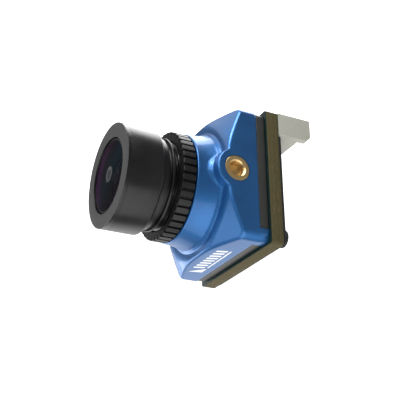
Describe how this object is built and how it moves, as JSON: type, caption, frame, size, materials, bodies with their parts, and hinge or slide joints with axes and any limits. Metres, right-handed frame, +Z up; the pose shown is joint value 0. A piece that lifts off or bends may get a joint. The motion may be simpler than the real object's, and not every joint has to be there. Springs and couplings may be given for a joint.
{
  "type": "micro board camera",
  "caption": "Square board camera: blue housing with round collar and brass side inserts, knurled lock ring, screw-in wide-angle lens, rear board with open pin header.",
  "frame": {"origin": "on the lens axis, half way between the front of the lens and the back of the header", "axes": "+Z up towards the face with the printed mark, lens looking along -Y, header on the +Y side at the lower -X corner"},
  "size_m": [0.019, 0.0254, 0.019],
  "materials": {
    "blue_paint": "metallic blue lacquer, satin gloss",
    "black_rubber": "matte",
    "brass": "turned",
    "filter_glass": "polished, coated",
    "coated_glass": "polished, anti-reflection coated",
    "chip_plastic": "moulded",
    "sensor_laminate": "dark solder mask",
    "board_laminate": "bare laminate edges, dark solder mask faces",
    "black_film": "satin",
    "header_plastic": "moulded, off-white",
    "tinned_metal": "tinned",
    "screw_steel": "blackened",
    "black_anodised": "black anodised, satin",
    "bezel_grey": "dark grey anodised, satin"
  },
  "bodies": {
    "camera_body": {"housing": "blue_paint", "rim_seal_left": "black_rubber", "rim_seal_right": "black_rubber", "side_insert_left": "brass", "side_insert_right": "brass", "infrared_filter": "filter_glass", "sensor_gasket": "black_rubber", "sensor_glass": "coated_glass", "image_sensor": "chip_plastic", "sensor_board": "sensor_laminate", "board_link_plug": "header_plastic", "board_link_socket": "header_plastic", "processor_chip": "chip_plastic", "regulator_chip": "chip_plastic", "power_inductor": "chip_plastic", "crystal": "tinned_metal", "rear_board": "board_laminate", "rear_film": "black_film", "rear_screw_upper": "screw_steel", "rear_screw_lower": "screw_steel", "header_shell": "header_plastic", "header_pin_1": "tinned_metal", "header_pin_2": "tinned_metal", "header_pin_3": "tinned_metal", "header_pin_4": "tinned_metal", "header_pin_5": "tinned_metal", "header_pin_6": "tinned_metal"},
    "lock_ring": {"lock_ring": "black_anodised"},
    "lens_stack": {"front_element": "coated_glass", "second_element": "coated_glass", "front_spacer": "black_anodised", "aperture_stop": "black_anodised", "third_element": "coated_glass", "rear_spacer": "black_anodised", "fourth_element": "coated_glass", "fifth_element": "coated_glass"},
    "lens_barrel": {"lens_barrel": "black_anodised", "front_bezel": "bezel_grey", "front_seal": "black_rubber", "rear_retainer": "black_anodised"}
  },
  "joints": [
    {"name": "focus_travel", "type": "slide", "parent": "camera_body", "child": "lens_stack", "axis": [0, -1, 0], "range_m": [-0.0005, 0.0005]},
    {"name": "focus_turn", "type": "hinge", "parent": "lens_stack", "child": "lens_barrel", "pos_m": [0, -0.0063, 0], "axis": [0, -1, 0], "range_deg": [-360, 360]},
    {"name": "lock_ring_turn", "type": "hinge", "parent": "camera_body", "child": "lock_ring", "pos_m": [0, -0.0044, 0], "axis": [0, -1, 0], "range_deg": [0, 360]}
  ],
  "couplings": [
    {"joint": "focus_turn", "follows": "focus_travel", "rad_per_m": 12566}
  ]
}
